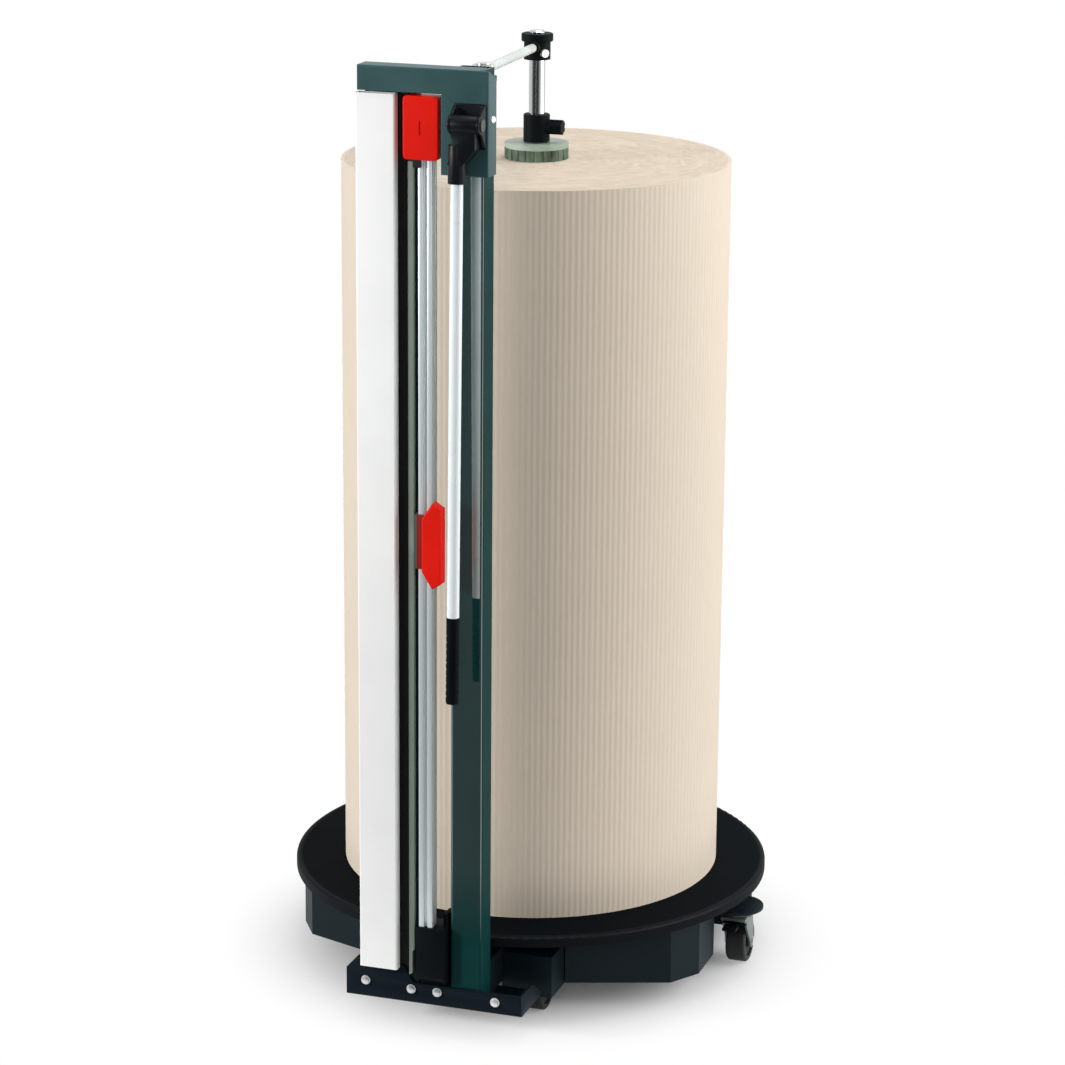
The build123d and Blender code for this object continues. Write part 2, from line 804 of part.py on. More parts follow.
# Rail foot: a block on the bracket's floor that comes forward over the flange under the rail
foot_front = rail_front - foot_proud
foot_back = mast_face + foot_depth
foot_shelf = bracket_low_top + foot_shelf_lift
foot_left = beam_right + foot_side_gap / 2
foot_right = column_left - foot_side_gap
rail_foot = plate_yz(
    [
        (mast_face, bracket_floor),
        (foot_back, bracket_floor),
        (foot_back, rail_bottom - foot_chamfer),
        (foot_back - foot_chamfer, rail_bottom),
        (foot_front, rail_bottom),
        (foot_front, foot_shelf + foot_chamfer),
        (foot_front + foot_chamfer, foot_shelf),
        (mast_face, foot_shelf),
    ],
    foot_left,
    foot_right,
)
rail_foot += block(
    foot_right - foot_ear_width, foot_right, mast_face, foot_back - foot_chamfer,
    rail_bottom, rail_bottom + foot_ear_height,
)


# Parking guard: a moulded cap over the top of the rail, open below and behind
def parking_guard():
    guard = block(guard_left, guard_right, guard_front, mast_face, guard_bottom, guard_top)
    guard = fillet(guard.edges().filter_by(Axis.Y), guard_round)
    guard = fillet(guard.faces().sort_by(Axis.Y)[0].edges(), guard_edge)
    return guard - block(
        guard_left + guard_wall, guard_right - guard_wall, guard_front + guard_wall, mast_face + overrun,
        guard_bottom - overrun, guard_roof,
    )


bumper_x = guard_left + bumper_left
bumper_y = guard_front + guard_wall
bumper = block(
    bumper_x, bumper_x + bumper_width, bumper_y, bumper_y + bumper_sheet,
    guard_bottom - bumper_drop, guard_bottom + bumper_inset,
)

# Clamp bar: a flat hollow section that slides forward on two pins, with pads on its back
bar_middle = (bar_left + bar_right) / 2
bar_plan = RectangleRounded(bar_width, bar_depth, bar_round)
bar_plan -= Rectangle(bar_width - 2 * bar_wall, bar_depth - 2 * bar_wall)
bar = Pos(bar_middle, (bar_front + bar_back) / 2, bar_bottom) * extrude(bar_plan, amount=bar_top - bar_bottom)
pin_heights = (bar_bottom + guide_pin_low, bar_top - guide_pin_high)
pin_tip = bar_front + bar_wall + guide_pin_tip
for height in pin_heights:
    hole = guide_pin_radius + running_fit
    bar -= pin_y(hole, bar_middle, bar_back - 2 * bar_wall, bar_back + overrun, height)
guide_pins = Compound([
    pin_y(guide_pin_radius, bar_middle, pin_tip, mast_face, height) for height in pin_heights
])
pad_face = mast_face - pad_clearance
pads = Compound([
    block(left, left + pad_width, bar_back, pad_face, bar_bottom + pad_foot_inset, bar_top - pad_top_inset)
    for left in (bar_left + pad_inset, strip_left - pad_strip_gap - pad_width)
])

# Draw strap: joins the bar's top to the lever behind the header
strap_left = beam_left + strap_inset
strap_right = lever_x + slot_half
strap_bottom = header_bottom + strap_lift
strap_top = header_roof - strap_top_gap
strap = plate_xz(
    [
        (strap_left, bar_top - strap_tab_lap),
        (strap_left + strap_tab_width, bar_top - strap_tab_lap),
        (strap_left + strap_tab_width, strap_bottom),
        (strap_right - strap_hook_width, strap_bottom),
        (strap_right - strap_hook_width, lever_z - strap_hook_drop),
        (strap_right, lever_z - strap_hook_drop),
        (strap_right, strap_top),
        (strap_left, strap_top),
    ],
    bar_back,
    bar_back + strap_sheet,
)


# Lever bracket: a plate with two rounded ears on the header's leg
ear_left = lever_x - lever_bracket_half
ear_right = lever_x + lever_bracket_half


def lever_bracket():
    top = lever_z + lever_bracket_up
    bottom = lever_z - lever_bracket_down
    bracket = block(ear_left, ear_right, header_front - lever_plate, header_front, bottom, top)
    outline = [
        (header_front, bottom),
        (header_front, top),
        (lever_y, lever_z + lever_barrel_radius),
        (lever_y, lever_z - lever_barrel_radius),
    ]
    for left in (ear_left, ear_right - lever_ear):
        bracket += plate_yz(outline, left, left + lever_ear)
        bracket += pin_x(lever_barrel_radius, left, left + lever_ear, lever_y, lever_z)
    bracket -= pin_x(lever_pin_radius + seat_gap, ear_left - overrun, ear_right + overrun, lever_y, lever_z)
    return bracket - lever_slot(header_front - lever_plate - overrun, header_front + overrun)


lever_pin = pin_x(lever_pin_radius, ear_left, ear_right, lever_y, lever_z)
lever_pin += pin_x(lever_pin_head_radius, ear_left - lever_pin_head, ear_left, lever_y, lever_z)
lever_pin += pin_x(lever_pin_head_radius, ear_right, ear_right + lever_pin_head, lever_y, lever_z)


# Lever: a cast head on the pin, a tube leaning a little outward and a ribbed grip
def lean(shape):
    return shape.rotate(Axis((0, lever_y, lever_z), (-1, 0, 0)), lever_lean)


head_foot = lever_z - lever_head_length
socket_end = head_foot + socket_depth


def lever_head():
    barrel_half = lever_bracket_half - lever_ear - air_gap
    web_half = barrel_half - lever_web_inset
    foot_half = socket_radius - lever_web_inset
    web = plate_xz(
        [
            (lever_x - web_half, lever_z),
            (lever_x + web_half, lever_z),
            (lever_x + web_half, lever_z - lever_head_straight),
            (socket_x + foot_half, socket_end),
            (socket_x - foot_half, socket_end),
            (lever_x - web_half, lever_z - lever_head_straight),
        ],
        lever_y - lever_head_half,
        lever_y + lever_head_half,
    )
    head = web + pin_x(lever_barrel_radius, lever_x - barrel_half, lever_x + barrel_half, lever_y, lever_z)
    head += post(socket_radius, socket_x, lever_y, head_foot, socket_end + socket_top)
    head += block(
        lever_x - finger_half, lever_x + finger_half, lever_y, lever_y + finger_reach,
        lever_z - finger_half, lever_z + finger_half,
    )
    head -= post(lever_tube_radius + seat_gap, socket_x, lever_y, head_foot - overrun, socket_end)
    return lean(head - pin_x(lever_pin_radius + running_fit, ear_left, ear_right, lever_y, lever_z))


tube_bottom = lever_z - lever_length
lever_tube = post(lever_tube_radius, socket_x, lever_y, tube_bottom, socket_end)
lever_tube -= post(
    lever_tube_radius - lever_tube_wall, socket_x, lever_y, tube_bottom - overrun, socket_end + overrun
)


def lever_grip():
    bottom = tube_bottom - lever_grip_length
    grip = post(lever_grip_radius, socket_x, lever_y, bottom, tube_bottom)
    grip = fillet(grip.edges().filter_by(GeomType.CIRCLE).group_by(Axis.Z)[0], lever_grip_round)
    outer = lever_grip_radius + overrun
    inner = lever_grip_radius - grip_ring
    for i in range(1, int(lever_grip_length / grip_ring_pitch) - 1):
        z = bottom + grip_ring_pitch * i
        ring = post(outer, socket_x, lever_y, z, z + grip_ring_width)
        grip -= ring - post(inner, socket_x, lever_y, z, z + grip_ring_width)
    return lean(grip)


# Cutter slide: a sleeve on the rail with a hand grip in front and the blade on its left face
hole_left = rail_left - air_gap
hole_right = rail_right + air_gap
hole_front = rail_front - air_gap
hole_back = rail_back + air_gap
sleeve_left = hole_left - cutter_wall
sleeve_front = hole_front - cutter_front_wall


def cutter_carriage():
    z0 = cutter_z - cutter_half
    z1 = cutter_z + cutter_half
    body = block(sleeve_left, hole_right + cutter_wall, sleeve_front, hole_back + cutter_wall, z0, z1)
    left = rail_left + grip_left_inset
    right = left + grip_width
    tip = left + grip_width * grip_tip_share
    grip = plate_xz(
        [
            (right, cutter_z - grip_right_half),
            (right, cutter_z + grip_right_half),
            (tip, cutter_z + grip_tip_half),
            (left, cutter_z + grip_left_half),
            (left, cutter_z - grip_left_half),
            (tip, cutter_z - grip_tip_half),
        ],
        sleeve_front - grip_depth,
        sleeve_front,
    )
    body += fillet(grip.faces().sort_by(Axis.Y)[0].edges(), grip_round)
    return body - block(hole_left, hole_right, hole_front, hole_back, z0 - overrun, z1 + overrun)


blade_cut = 2 * blade_half * blade_tip_share
blade_front = sleeve_front + blade_front_inset
blade_back = blade_front + blade_neck
blade = plate_yz(
    [
        (blade_front, cutter_z - blade_half),
        (blade_front, cutter_z + blade_half),
        (blade_back, cutter_z + blade_half),
        (blade_back + blade_reach, cutter_z + blade_half - blade_cut),
        (blade_back + blade_reach, cutter_z - blade_half + blade_cut),
        (blade_back, cutter_z - blade_half),
    ],
    sleeve_left - blade_thickness,
    sleeve_left,
)

# Hold-down arm: an eye on a pin behind the column, a tube, and a split clamp over the roll's axis
eye_top = arm_z + eye_half
eye_bottom = arm_z - eye_half
shelf_top = eye_bottom - air_gap
shelf_foot = shelf_top - shelf_drop


def arm_bracket():
    left = pivot_x - shelf_half
    right = pivot_x + shelf_half
    under = shelf_top - shelf_sheet
    shelf = block(left, right, column_back, pivot_y, under, shelf_top)
    shelf += post(shelf_half, pivot_x, pivot_y, under, shelf_top)
    shelf += block(left, right, column_back, column_back + shelf_sheet / 2, shelf_foot, shelf_top)
    gusset = [
        (column_back, under),
        (pivot_y, under),
        (column_back + shelf_sheet, shelf_foot),
        (column_back, shelf_foot),
    ]
    shelf += plate_yz(gusset, pivot_x - shelf_sheet / 2, pivot_x + shelf_sheet / 2)
    return shelf - post(hinge_pin_radius + seat_gap, pivot_x, pivot_y, shelf_foot, eye_top)


pin_head = eye_top + air_gap
arm_pin = post(hinge_pin_radius, pivot_x, pivot_y, shelf_top - shelf_sheet, pin_head)
arm_pin += post(hinge_pin_head_radius, pivot_x, pivot_y, pin_head, pin_head + hinge_pin_head)


arm_length = hypot(pivot_x, pivot_y, arm_fall)
arm_end = Plane(origin=(0, 0, clamp_z), z_dir=(pivot_x, pivot_y, arm_fall))


def arm_bar(radius, start, end):
    """A round bar on the arm's line, measured from the rod's axis towards the hinge."""
    return arm_end * Pos(0, 0, (start + end) / 2) * Cylinder(radius, end - start)


def hold_down_arm():
    arm = arm_bar(arm_tube_radius, clamp_body_radius, arm_length)
    arm += post(eye_radius, pivot_x, pivot_y, eye_bottom, eye_top)
    hole = hinge_pin_radius + running_fit
    return arm - post(hole, pivot_x, pivot_y, eye_bottom - overrun, eye_top + overrun)


cap_top = clamp_z + clamp_cap_rise
cap_bottom = cap_top - clamp_cap_height
clamp_bottom = clamp_z - clamp_down
screw_face = clamp_body_radius + screw_gap
screw_place = Pos(0, 0, clamp_z - screw_down) * Rot(0, 0, screw_turn)


def rod_clamp():
    clamp = post(clamp_cap_radius, 0, 0, cap_bottom, cap_top)
    clamp = fillet(clamp.edges().filter_by(GeomType.CIRCLE), clamp_round)
    clamp += post(clamp_body_radius, 0, 0, clamp_bottom, cap_bottom)
    clamp += arm_bar(socket_boss_radius, 0, socket_boss_reach)
    clamp -= arm_bar(arm_tube_radius + seat_gap, clamp_body_radius - seat_gap, socket_boss_reach + overrun)
    clamp -= post(rod_radius + running_fit, 0, 0, clamp_bottom - overrun, cap_top + overrun)
    return clamp - screw_place * pin_x(screw_radius + running_fit, 0, clamp_cap_radius + overrun, 0, 0)


clamp_screw = pin_x(screw_radius, rod_radius + screw_gap, screw_face, 0, 0)
clamp_screw += pin_x(screw_head_radius, screw_face, screw_face + screw_head, 0, 0)
clamp_screw = screw_place * clamp_screw

# Rod with a stub and nut that carry the turning disc, its hub and the hub's knob
rod_foot = disc_top + air_gap
stub_foot = disc_plate_bottom - air_gap - stub_nut
rod = post(rod_radius, 0, 0, rod_foot, clamp_z + rod_rise)
rod = chamfer(rod.edges().filter_by(GeomType.CIRCLE).group_by(Axis.Z)[-1], rod_chamfer)
rod += post(stub_radius, 0, 0, stub_foot, rod_foot)
rod += post(stub_nut_radius, 0, 0, stub_foot, stub_foot + stub_nut)

hub_bottom = disc_top + hub_lift
hub_top = hub_bottom + hub_height
knob_z = hub_bottom + knob_lift
knob_face = hub_radius + knob_boss
hub = post(hub_radius, 0, 0, hub_bottom, hub_top)
hub = fillet(hub.edges().filter_by(GeomType.CIRCLE).group_by(Axis.Z)[-1], hub_round)
hub += pin_x(knob_radius, 0, knob_face, 0, knob_z)
hub -= post(rod_radius + seat_gap, 0, 0, hub_bottom - overrun, hub_top + overrun)
hub -= pin_x(knob_stem_radius + running_fit, knob_face - knob_stem_depth, knob_face + overrun, 0, knob_z)

knob_start = knob_face + air_gap
knob_end = knob_start + knob_length
knob = pin_x(knob_radius, knob_start, knob_end, 0, knob_z)
for angle in around(knob_lobes):
    lobe_y = knob_radius * cos(angle)
    lobe_z = knob_z + knob_radius * sin(angle)
    knob -= pin_x(knob_lobe_radius, knob_start - overrun, knob_end + overrun, lobe_y, lobe_z)
knob += pin_x(knob_stem_radius, knob_face - knob_stem_depth + air_gap, knob_start, 0, knob_z)

# Hold-down disc: a thin plate over a ribbed rubber ring
press_plate = post(disc_radius, 0, 0, disc_plate_bottom, disc_top)
press_plate -= post(stub_radius + running_fit, 0, 0, disc_plate_bottom - overrun, disc_top + overrun)
press_ring = post(disc_radius, 0, 0, disc_bottom, disc_plate_bottom)
press_ring -= post(disc_ring_bore, 0, 0, disc_bottom - overrun, disc_plate_bottom + overrun)
rib_reach = disc_radius + disc_rib_radius / 2
for angle in around(disc_rib_count):
    rib_x = rib_reach * cos(angle)
    rib_y = rib_reach * sin(angle)
    press_ring -= post(disc_rib_radius, rib_x, rib_y, disc_bottom - overrun, disc_plate_bottom + overrun)

# Write one file for each piece
side_wheel_y = side_castor_y + castor_trail
rear_wheel_y = rear_castor_y + castor_trail
for name, side in (("right", 1), ("left", -1)):
    save(f"front_wheel_{name}", castor_wheel(side * front_castor_x, front_castor_y))
    save(f"side_fork_{name}", swivel_fork(side * side_castor_x, side_castor_y, True))
    save(f"side_axle_{name}", castor_axle(side * side_castor_x, side_wheel_y))
    save(f"side_wheel_{name}", castor_wheel(side * side_castor_x, side_wheel_y))
    save(f"brake_pedal_{name}", brake_pedal(side * side_castor_x, side_castor_y))
pieces = {
    "base_housing": base_housing(),
    "bearing_lower_ring": lower_ring,
    "bearing_upper_ring": upper_ring,
    "bearing_balls": balls,
    "centre_spindle": spindle,
    "castor_wings": Compound(wings),
    "castor_plates": Compound(tops),
    "front_castor_forks": Compound(front_forks),
    "front_castor_axles": Compound(front_axles),
    "rear_fork": swivel_fork(0, rear_castor_y, False),
    "rear_axle": castor_axle(0, rear_wheel_y),
    "rear_wheel": castor_wheel(0, rear_wheel_y),
    "turntable_disc": disc,
    "centring_spigot": spigot,
    "corrugated_roll": wound,
    "fluted_turn": fluted_turn(),
    "roll_core": core,
    "mast_arm": mast_arm,
    "foot_bracket": foot_bracket(),
    "bracket_bolts": bolts,
    "mast_column": column,
    "header_cover": header_cover(),
    "counter_beam": beam,
    "web_strip": strip,
    "edge_strip": edge,
    "guide_rail": guide_rail(),
    "rail_foot": rail_foot,
    "parking_guard": parking_guard(),
    "guard_bumper": bumper,
    "clamp_bar": bar,
    "bar_guide_pins": guide_pins,
    "bar_pads": pads,
    "draw_strap": strap,
    "lever_bracket": lever_bracket(),
    "lever_pin": lever_pin,
    "lever_head": lever_head(),
    "lever_tube": lean(lever_tube),
    "lever_grip": lever_grip(),
    "cutter_carriage": cutter_carriage(),
    "cutter_blade": blade,
    "arm_bracket": arm_bracket(),
    "arm_pin": arm_pin,
    "hold_down_arm": hold_down_arm(),
    "rod_clamp": rod_clamp(),
    "clamp_screw": clamp_screw,
    "hold_down_rod": rod,
    "rod_hub": hub,
    "hub_knob": knob,
    "press_plate": press_plate,
    "press_ring": press_ring,
}
for name, shape in pieces.items():
    save(name, shape)
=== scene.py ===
import bpy
import math
import random
from mathutils import Matrix, Vector


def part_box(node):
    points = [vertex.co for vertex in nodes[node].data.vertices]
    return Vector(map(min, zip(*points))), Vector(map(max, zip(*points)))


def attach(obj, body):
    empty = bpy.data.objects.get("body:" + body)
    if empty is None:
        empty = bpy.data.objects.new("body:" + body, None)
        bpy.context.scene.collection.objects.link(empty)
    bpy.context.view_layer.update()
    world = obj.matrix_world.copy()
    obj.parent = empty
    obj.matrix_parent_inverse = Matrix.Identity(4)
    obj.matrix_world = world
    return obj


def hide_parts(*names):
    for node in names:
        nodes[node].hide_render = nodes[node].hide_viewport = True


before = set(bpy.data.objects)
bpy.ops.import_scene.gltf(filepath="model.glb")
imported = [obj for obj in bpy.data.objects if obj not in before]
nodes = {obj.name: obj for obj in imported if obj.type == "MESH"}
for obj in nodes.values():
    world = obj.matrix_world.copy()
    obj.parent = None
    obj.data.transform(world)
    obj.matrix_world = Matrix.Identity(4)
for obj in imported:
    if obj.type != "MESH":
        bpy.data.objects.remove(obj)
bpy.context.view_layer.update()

# Studio. A sheet of white paper on the floor in a white surround, a small lamp at the left whose light
# passes the mast's gap and falls on the roll, a wide one at the right, one above and a weak one beside the
# camera. The room behind the camera is dim.
bpy.context.scene.view_settings.view_transform = "Standard"
floor_side = 1.24
floor_drop = 0.0005
floor_white = (0.8, 0.8, 0.8, 1)
shadow_reach = (0.22, 0.46)
shadow_glow_shares = (0.05, 1.0)


def reckon(tree, operation, first, second=None):
    """The result of one sum in a node tree; each of its terms is a number or a socket."""
    node = tree.nodes.new("ShaderNodeMath")
    node.operation = operation
    for socket, term in zip(node.inputs, (first, second)):
        if term is None:
            continue
        if isinstance(term, (int, float)):
            socket.default_value = term
        else:
            tree.links.new(term, socket)
    return node.outputs[0]


def seen_directly(tree):
    """1 for a ray from the camera, off a shiny piece or through glass, which shows the white studio."""
    path = tree.nodes.new("ShaderNodeLightPath")
    mirrored = reckon(tree, "MAXIMUM", path.outputs["Is Camera Ray"], path.outputs["Is Glossy Ray"])
    return reckon(tree, "MAXIMUM", mirrored, path.outputs["Is Transmission Ray"])


bpy.ops.object.select_all(action="DESELECT")
bpy.ops.mesh.primitive_plane_add(size=floor_side, location=(0, 0, -floor_drop))
floor = bpy.context.object
floor.name = "studio_floor"
floor_paint = bpy.data.materials.new("studio_floor_paper")
floor_paint.use_nodes = True
tree = floor_paint.node_tree
tree.nodes.clear()
out = tree.nodes.new("ShaderNodeOutputMaterial")
blend = tree.nodes.new("ShaderNodeMixShader")
matt = tree.nodes.new("ShaderNodeBsdfDiffuse")
matt.inputs["Color"].default_value = floor_white
glow = tree.nodes.new("ShaderNodeEmission")
place = tree.nodes.new("ShaderNodeTexCoord")
away = tree.nodes.new("ShaderNodeVectorMath")
away.operation = "LENGTH"
fade = tree.nodes.new("ShaderNodeMapRange")
fade.interpolation_type = "SMOOTHSTEP"
fade.inputs["From Min"].default_value = shadow_reach[0]
fade.inputs["From Max"].default_value = shadow_reach[1]
fade.inputs["To Min"].default_value = shadow_glow_shares[0]
fade.inputs["To Max"].default_value = shadow_glow_shares[1]
tree.links.new(place.outputs["Object"], away.inputs[0])
tree.links.new(away.outputs["Value"], fade.inputs["Value"])
tree.links.new(reckon(tree, "MULTIPLY", seen_directly(tree), fade.outputs["Result"]), blend.inputs[0])
tree.links.new(matt.outputs[0], blend.inputs[1])
tree.links.new(glow.outputs[0], blend.inputs[2])
tree.links.new(blend.outputs[0], out.inputs[0])
floor.data.materials.append(floor_paint)

ambient_strength = 0.33
backdrop_white = (1, 1, 1, 1)
front_ways = (-0.85, -0.3)
front_light_shares = (0.065, 1.0)
world = bpy.data.worlds.new("studio_surround")
bpy.context.scene.world = world
world.use_nodes = True
tree = world.node_tree
tree.nodes.clear()
out = tree.nodes.new("ShaderNodeOutputWorld")
blend = tree.nodes.new("ShaderNodeMixShader")
ambient = tree.nodes.new("ShaderNodeBackground")
ambient.inputs["Strength"].default_value = ambient_strength
backdrop = tree.nodes.new("ShaderNodeBackground")
backdrop.inputs["Color"].default_value = backdrop_white
way = tree.nodes.new("ShaderNodeTexCoord")
axes = tree.nodes.new("ShaderNodeSeparateXYZ")
dim_front = tree.nodes.new("ShaderNodeMapRange")
dim_front.interpolation_type = "SMOOTHSTEP"
dim_front.inputs["From Min"].default_value = front_ways[0]
dim_front.inputs["From Max"].default_value = front_ways[1]
dim_front.inputs["To Min"].default_value = front_light_shares[0]
dim_front.inputs["To Max"].default_value = front_light_shares[1]
path = tree.nodes.new("ShaderNodeLightPath")
tree.links.new(way.outputs["Generated"], axes.inputs[0])
tree.links.new(axes.outputs["Y"], dim_front.inputs["Value"])
white_to_camera = reckon(tree, "MAXIMUM", path.outputs["Is Camera Ray"], dim_front.outputs["Result"])
tree.links.new(white_to_camera, backdrop.inputs["Strength"])
tree.links.new(seen_directly(tree), blend.inputs[0])
tree.links.new(ambient.outputs[0], blend.inputs[1])
tree.links.new(backdrop.outputs[0], blend.inputs[2])
tree.links.new(blend.outputs[0], out.inputs[0])

lamp_aim = Vector((0, 0, 0.7))
lamps = {
    "left_lamp": ((-3.48, -2.77, 1.6), 0.5, 154.0),
    "front_lamp": ((1.2, -4.4, 2.0), 1.6, 28.0),
    "right_lamp": ((3.2, 0.85, 1.7), 3.4, 128.0),
    "top_lamp": ((0.4, 0.2, 3.6), 2.0, 48.0),
}
for name, (place, side, power) in lamps.items():
    bpy.ops.object.light_add(type="AREA", location=place)
    lamp = bpy.context.object
    lamp.name = name
    lamp.data.size = side
    lamp.data.energy = power
    lamp.visible_camera = False
    lamp.rotation_euler = (lamp_aim - Vector(place)).to_track_quat("-Z", "Y").to_euler()

eye = Vector((1.492, -4.484, 1.908))
look_left = math.radians(18.42)
look_down = math.radians(15.456)
camera_roll = math.radians(0.451)
film_width = 36
lens_length = 118.5
bpy.ops.object.camera_add(location=eye)
camera = bpy.context.object
camera.data.sensor_width = film_width
camera.data.lens = lens_length
turn = Matrix.Rotation(look_left, 4, "Z") @ Matrix.Rotation(math.pi / 2 - look_down, 4, "X")
camera.rotation_euler = (turn @ Matrix.Rotation(camera_roll, 4, "Z")).to_euler()
bpy.context.scene.camera = camera


# Base housing and the castor wings. Steel plates welded into a low box with a dark powder coat whose skin
# is finely pebbled; the wings carry the castors.
def coloured_grain(
    name, colour, rough, metal=0.0, shine=0.5, spread=0.12, grain=900.0, depth=0.0002, stretch=(1, 1, 1)
):
    """A finish whose colour and gloss drift a little over the piece, with a fine grain in relief."""
    drift_scale = 14.0
    drift_detail = 6.0
    drift_band = (0.3, 0.7)
    smoother = 0.06
    rougher = 0.08
    least_rough = 0.03
    grain_detail = 2.0
    grain_strength = 0.5
    material = bpy.data.materials.new(name)
    material.use_nodes = True
    tree = material.node_tree
    shader = tree.nodes["Principled BSDF"]
    shader.inputs["Metallic"].default_value = metal
    shader.inputs["Specular IOR Level"].default_value = shine
    place = tree.nodes.new("ShaderNodeTexCoord")
    scale = tree.nodes.new("ShaderNodeMapping")
    scale.inputs["Scale"].default_value = stretch
    tree.links.new(place.outputs["Object"], scale.inputs["Vector"])
    drift = tree.nodes.new("ShaderNodeTexNoise")
    drift.inputs["Scale"].default_value = drift_scale
    drift.inputs["Detail"].default_value = drift_detail
    tree.links.new(scale.outputs[0], drift.inputs["Vector"])
    ramp = tree.nodes.new("ShaderNodeValToRGB")
    ramp.color_ramp.elements[0].position = drift_band[0]
    ramp.color_ramp.elements[1].position = drift_band[1]
    ramp.color_ramp.elements[0].color = (*[c * (1 - spread) for c in colour], 1)
    ramp.color_ramp.elements[1].color = (*[min(c * (1 + spread), 1) for c in colour], 1)
    tree.links.new(drift.outputs["Fac"], ramp.inputs["Fac"])
    tree.links.new(ramp.outputs["Color"], shader.inputs["Base Color"])
    gloss = tree.nodes.new("ShaderNodeMapRange")
    gloss.inputs["To Min"].default_value = max(rough - smoother, least_rough)
    gloss.inputs["To Max"].default_value = rough + rougher
    tree.links.new(drift.outputs["Fac"], gloss.inputs["Value"])
    tree.links.new(gloss.outputs[0], shader.inputs["Roughness"])
    pebble = tree.nodes.new("ShaderNodeTexNoise")
    pebble.inputs["Scale"].default_value = grain
    pebble.inputs["Detail"].default_value = grain_detail
    tree.links.new(scale.outputs[0], pebble.inputs["Vector"])
    relief = tree.nodes.new("ShaderNodeBump")
    relief.inputs["Strength"].default_value = grain_strength
    relief.inputs["Distance"].default_value = depth
    tree.links.new(pebble.outputs["Fac"], relief.inputs["Height"])
    tree.links.new(relief.outputs[0], shader.inputs["Normal"])
    return material


def dress(material, *names):
    """Gives CAD nodes a finish."""
    for name in names:
        for slot in nodes[name].material_slots:
            slot.material = material


base_coat = coloured_grain("base_powder_coat", (0.005, 0.0115, 0.0155), 0.5, shine=0.12)
dress(base_coat, "base_housing", "castor_wings")

# Castors. Pressed and zinc-plated forks with a dull coat, steel axles, black rubber wheels and moulded
# brake pedals on the two side castors.
castor_zinc = coloured_grain("castor_zinc", (0.16, 0.19, 0.175), 0.42, metal=0.5, spread=0.3)
bright_steel = coloured_grain("bright_steel", (0.68, 0.69, 0.68), 0.3, metal=0.8)
wheel_rubber = coloured_grain(
    "wheel_rubber", (0.013, 0.014, 0.014), 0.62, shine=0.3, spread=0.2, grain=500.0
)
moulded_black = coloured_grain("moulded_black", (0.0035, 0.0055, 0.0065), 0.5, shine=0.05, grain=700.0)
dress(castor_zinc, "castor_plates", "front_castor_forks", "side_fork_right", "side_fork_left", "rear_fork")
dress(bright_steel, "front_castor_axles", "side_axle_right", "side_axle_left", "rear_axle")
dress(
    wheel_rubber, "front_wheel_right", "front_wheel_left", "side_wheel_right", "side_wheel_left", "rear_wheel"
)
dress(moulded_black, "brake_pedal_right", "brake_pedal_left")

# Ring bearing and spindle. Two turned steel rings with a ring of balls between them and a turned spindle in
# the middle, bolted to the housing's deck and hidden under the turntable.
dress(bright_steel, "bearing_lower_ring", "bearing_upper_ring", "bearing_balls", "centre_spindle")

# Turntable. A spun steel disc with a rolled edge and a smooth black coat, rubbed along the rim; a moulded
# spigot in its middle takes the roll's core.
rim_width = 0.009
rim_coat_share = 0.12
rim_coat_rough = 0.35
table_coat = coloured_grain(
    "table_coat", (0.0022, 0.0038, 0.005), 0.7, shine=0.02, grain=600.0, depth=0.0001
)
tree = table_coat.node_tree
shader = tree.nodes["Principled BSDF"]
shader.inputs["Coat Roughness"].default_value = rim_coat_rough
table_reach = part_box("turntable_disc")[1].x
place = tree.nodes.new("ShaderNodeTexCoord")
flat = tree.nodes.new("ShaderNodeVectorMath")
flat.operation = "MULTIPLY"
flat.inputs[1].default_value = (1, 1, 0)
reach = tree.nodes.new("ShaderNodeVectorMath")
reach.operation = "LENGTH"
rubbed_rim = tree.nodes.new("ShaderNodeMapRange")
rubbed_rim.inputs["From Min"].default_value = table_reach - rim_width
rubbed_rim.inputs["From Max"].default_value = table_reach - rim_width / 2
rubbed_rim.inputs["To Max"].default_value = rim_coat_share
tree.links.new(place.outputs["Object"], flat.inputs[0])
tree.links.new(flat.outputs[0], reach.inputs[0])
tree.links.new(reach.outputs["Value"], rubbed_rim.inputs["Value"])
tree.links.new(rubbed_rim.outputs[0], shader.inputs["Coat Weight"])
dress(table_coat, "turntable_disc")
dress(moulded_black, "centring_spigot")

# Roll of single-face corrugated board. One web of fluted paper on a plain liner, wound on a card tube:
# the outer turn shows its flutes, and the end shows the turns as a fine spiral of waves, drawn with painted
# shade in the open flutes and creases.
flute_count = 208
flute_wave_shares = (0.0, 0.25, 0.75, 1.0, 0.75, 0.25)
flute_depth = 0.00036
roll_low, roll_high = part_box("fluted_turn")
roll_radius = roll_high.x
roll_foot = roll_low.z
roll_head = roll_high.z
core_clearance = 0.0002
bore_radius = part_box("roll_core")[1].x + core_clearance
turn_recess = 0.0016
turn_rings = 20
turn_draw_seed = 7
flute_smooth_angle = math.radians(50)
points_per_flute = len(flute_wave_shares)
bpy.ops.object.select_all(action="DESELECT")
bpy.ops.mesh.primitive_circle_add(
    vertices=flute_count * points_per_flute, radius=roll_radius, fill_type="NOTHING",
    location=(0, 0, roll_foot),
)
roll = bpy.context.object
roll.name = "fluted_roll"
bpy.ops.object.transform_apply(location=True, rotation=True, scale=True)
